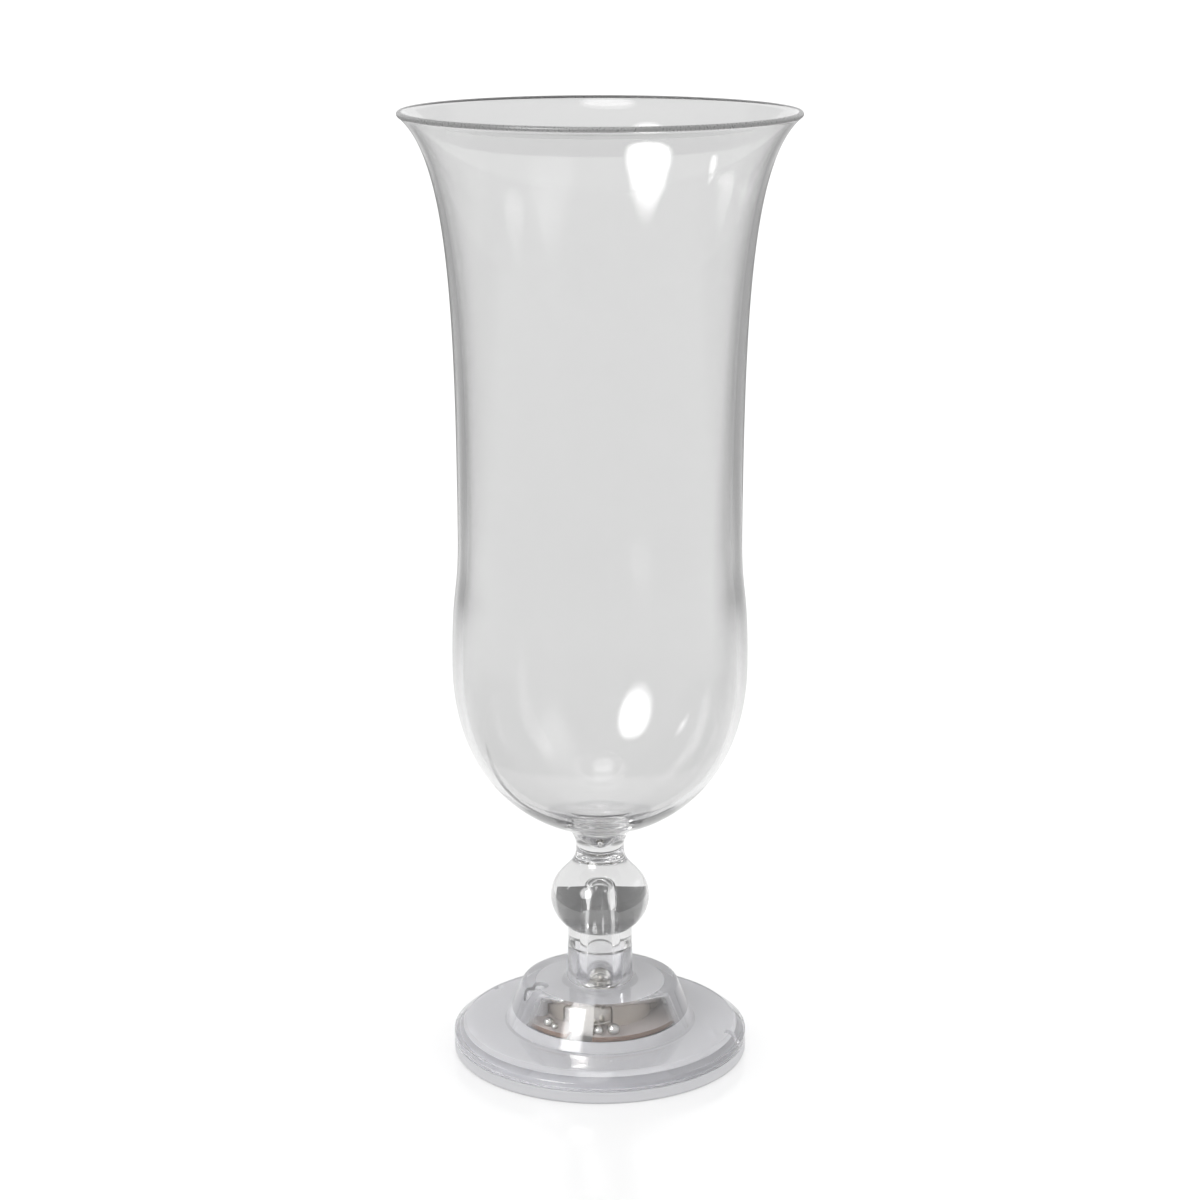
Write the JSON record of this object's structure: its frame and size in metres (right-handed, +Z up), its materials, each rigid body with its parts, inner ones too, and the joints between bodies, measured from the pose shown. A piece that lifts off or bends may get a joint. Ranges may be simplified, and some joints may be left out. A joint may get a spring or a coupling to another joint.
{
  "type": "hurricane glass",
  "caption": "Clear plastic hurricane glass with a flared bowl, a ball in the stem and a hollow foot that holds a battery light worked by a push button underneath.",
  "frame": {"origin": "middle of the face that the foot stands on", "axes": "+Z up along the glass's axis, -Y towards the camera of the picture, +X to its right"},
  "size_m": [0.0876, 0.0876, 0.216],
  "materials": {
    "clear_plastic": "clear, polished",
    "cover_plastic": "clear, lightly frosted",
    "board_phenolic": "satin",
    "taupe_plastic": "satin",
    "nickel": "bright plated",
    "steel": "zinc plated",
    "led_epoxy": "clear",
    "chip_resin": "satin",
    "resistor_ceramic": "satin",
    "switch_plastic": "satin",
    "button_plastic": "satin"
  },
  "bodies": {
    "glass": {"bowl": "clear_plastic", "foot_shell": "clear_plastic", "base_cover": "cover_plastic", "base_screws": "steel", "circuit_board": "board_phenolic", "cell_holder": "taupe_plastic", "front_button_cell": "nickel", "right_button_cell": "nickel", "rear_button_cell": "nickel", "lower_contacts": "nickel", "upper_link": "nickel", "positive_contact": "nickel", "driver_chip": "chip_resin", "chip_resistors": "resistor_ceramic", "led_lens": "led_epoxy", "led_leads": "nickel", "switch_base": "switch_plastic", "switch_cover": "steel"},
    "button": {"push_button": "button_plastic", "switch_plunger": "switch_plastic"}
  },
  "joints": [
    {"name": "button_press", "type": "slide", "parent": "glass", "child": "button", "axis": [0, 0, 1], "range_m": [0, 0.0003], "stiffness_N_per_m": 3000, "springref_m": -0.0001}
  ]
}
